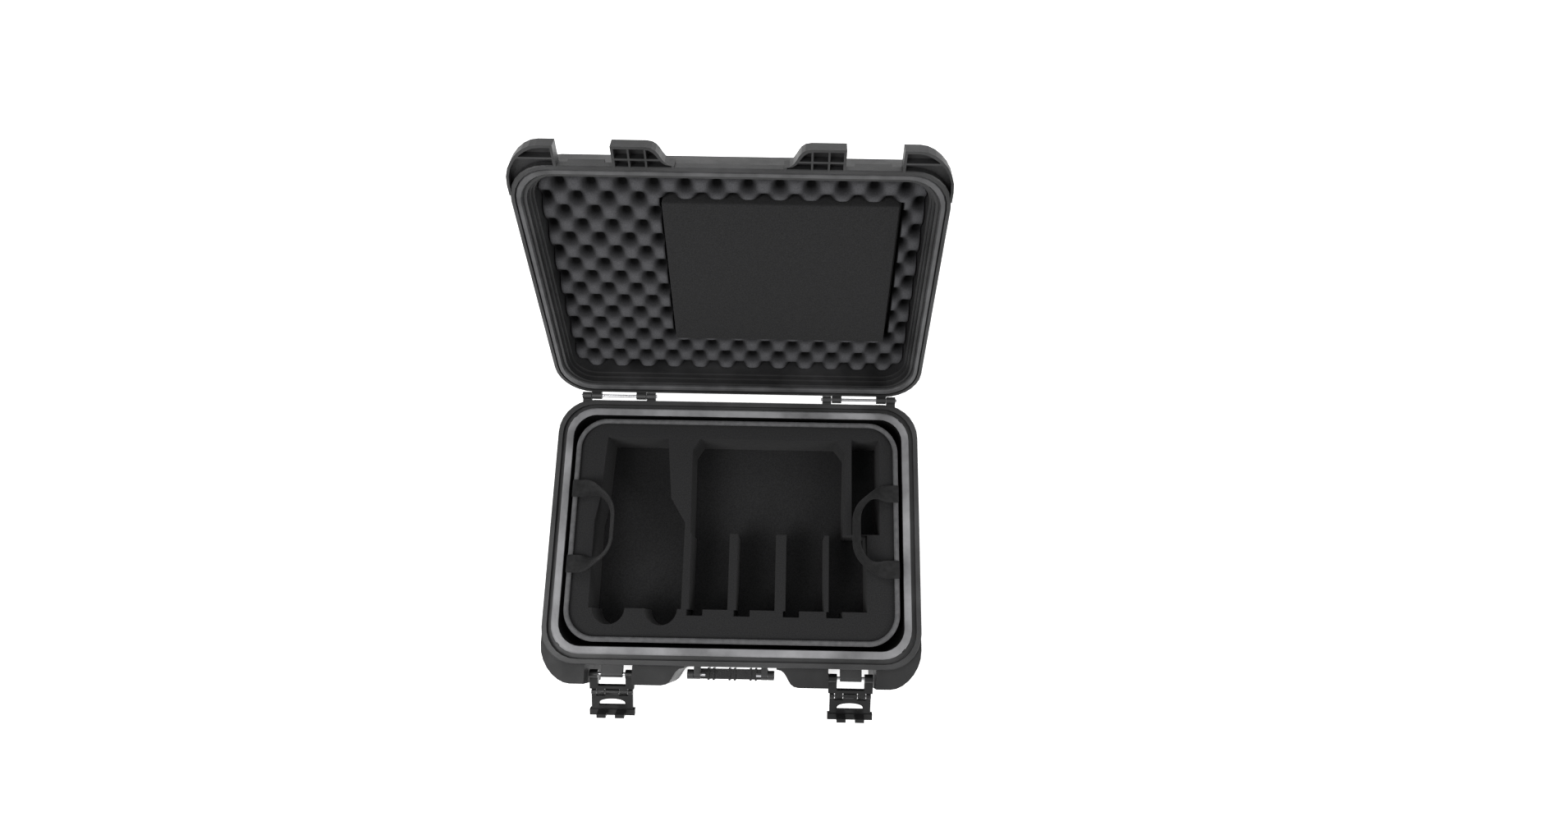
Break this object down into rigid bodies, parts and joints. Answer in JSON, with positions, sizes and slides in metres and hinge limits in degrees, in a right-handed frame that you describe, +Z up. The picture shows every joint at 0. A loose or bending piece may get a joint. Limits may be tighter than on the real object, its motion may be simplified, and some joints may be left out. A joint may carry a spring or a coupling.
{
  "type": "drone carrying case",
  "caption": "Hard carrying case with a hinged foam-lined lid, over-centre latches, a cut foam insert and a lift-out fabric-covered tote for a camera drone and its batteries.",
  "frame": {"origin": "centre of the flat underside of the base, where it rests on a table", "axes": "+X to the case's right, +Y towards the hinges, +Z up"},
  "size_m": [0.49, 0.6332, 0.4666],
  "materials": {
    "resin": "mottled injection-moulded resin",
    "latch_resin": "fine textured nylon",
    "seal": "smooth",
    "egg_crate_foam": "open-cell foam",
    "foam": "fine closed-cell foam",
    "tote_fabric": "woven cover",
    "binding": "ribbed binding",
    "webbing": "woven webbing",
    "steel": "bright"
  },
  "bodies": {
    "base": {"base_shell": "resin", "base_bumper_corner_left": "resin", "base_bumper_middle_left": "resin", "base_bumper_middle_right": "resin", "base_bumper_corner_right": "resin", "hinge_pin_left": "steel", "hinge_pin_right": "steel", "latch_pin_left": "steel", "latch_pin_right": "steel", "handle_pin_left": "steel", "handle_pin_right": "steel", "lower_foam_floor": "foam", "lower_foam": "foam"},
    "lid": {"lid_shell": "resin", "lid_gasket": "seal", "lid_egg_crate_foam": "egg_crate_foam", "lid_flat_pad": "foam"},
    "carry_handle": {"carry_handle": "resin", "handle_grip": "latch_resin"},
    "tote": {"tote_shell": "tote_fabric", "tote_rim_binding": "binding", "tote_foam_floor": "foam", "tote_foam": "foam", "loop_tab_left_front": "webbing", "loop_tab_left_back": "webbing", "loop_tab_right_front": "webbing", "loop_tab_right_back": "webbing"},
    "latch_frame_left": {"latch_frame_left": "latch_resin", "latch_rivet_left": "steel"},
    "latch_lever_left": {"latch_lever_left": "latch_resin"},
    "tote_loop_left": {"tote_loop_left": "webbing"},
    "latch_frame_right": {"latch_frame_right": "latch_resin", "latch_rivet_right": "steel"},
    "latch_lever_right": {"latch_lever_right": "latch_resin"},
    "tote_loop_right": {"tote_loop_right": "webbing"}
  },
  "joints": [
    {"name": "lid_hinge", "type": "hinge", "parent": "base", "child": "lid", "pos_m": [0, 0.181, 0.1312], "axis": [-1, 0, 0], "range_deg": [-118, 0]},
    {"name": "carry_handle_hinge", "type": "hinge", "parent": "base", "child": "carry_handle", "pos_m": [0, -0.185, 0.11], "axis": [-1, 0, 0], "range_deg": [0, 95]},
    {"name": "latch_left_hinge", "type": "hinge", "parent": "base", "child": "latch_frame_left", "pos_m": [-0.156, -0.187, 0.098], "axis": [1, 0, 0], "range_deg": [-115, 0]},
    {"name": "latch_left_lever", "type": "hinge", "parent": "latch_frame_left", "child": "latch_lever_left", "pos_m": [-0.156, -0.20966, 0.08743], "axis": [1, 0, 0], "range_deg": [0, 35]},
    {"name": "latch_right_hinge", "type": "hinge", "parent": "base", "child": "latch_frame_right", "pos_m": [0.156, -0.187, 0.098], "axis": [1, 0, 0], "range_deg": [-115, 0]},
    {"name": "latch_right_lever", "type": "hinge", "parent": "latch_frame_right", "child": "latch_lever_right", "pos_m": [0.156, -0.20966, 0.08743], "axis": [1, 0, 0], "range_deg": [0, 35]},
    {"name": "tote_lift", "type": "slide", "parent": "base", "child": "tote", "axis": [0, 0, 1], "range_m": [0, 0.34]},
    {"name": "tote_loop_left_hinge", "type": "hinge", "parent": "tote", "child": "tote_loop_left", "pos_m": [-0.2165, 0, 0.1415], "axis": [0, -1, 0], "range_deg": [0, 150]},
    {"name": "tote_loop_right_hinge", "type": "hinge", "parent": "tote", "child": "tote_loop_right", "pos_m": [0.2165, 0, 0.1415], "axis": [0, 1, 0], "range_deg": [0, 150]}
  ]
}
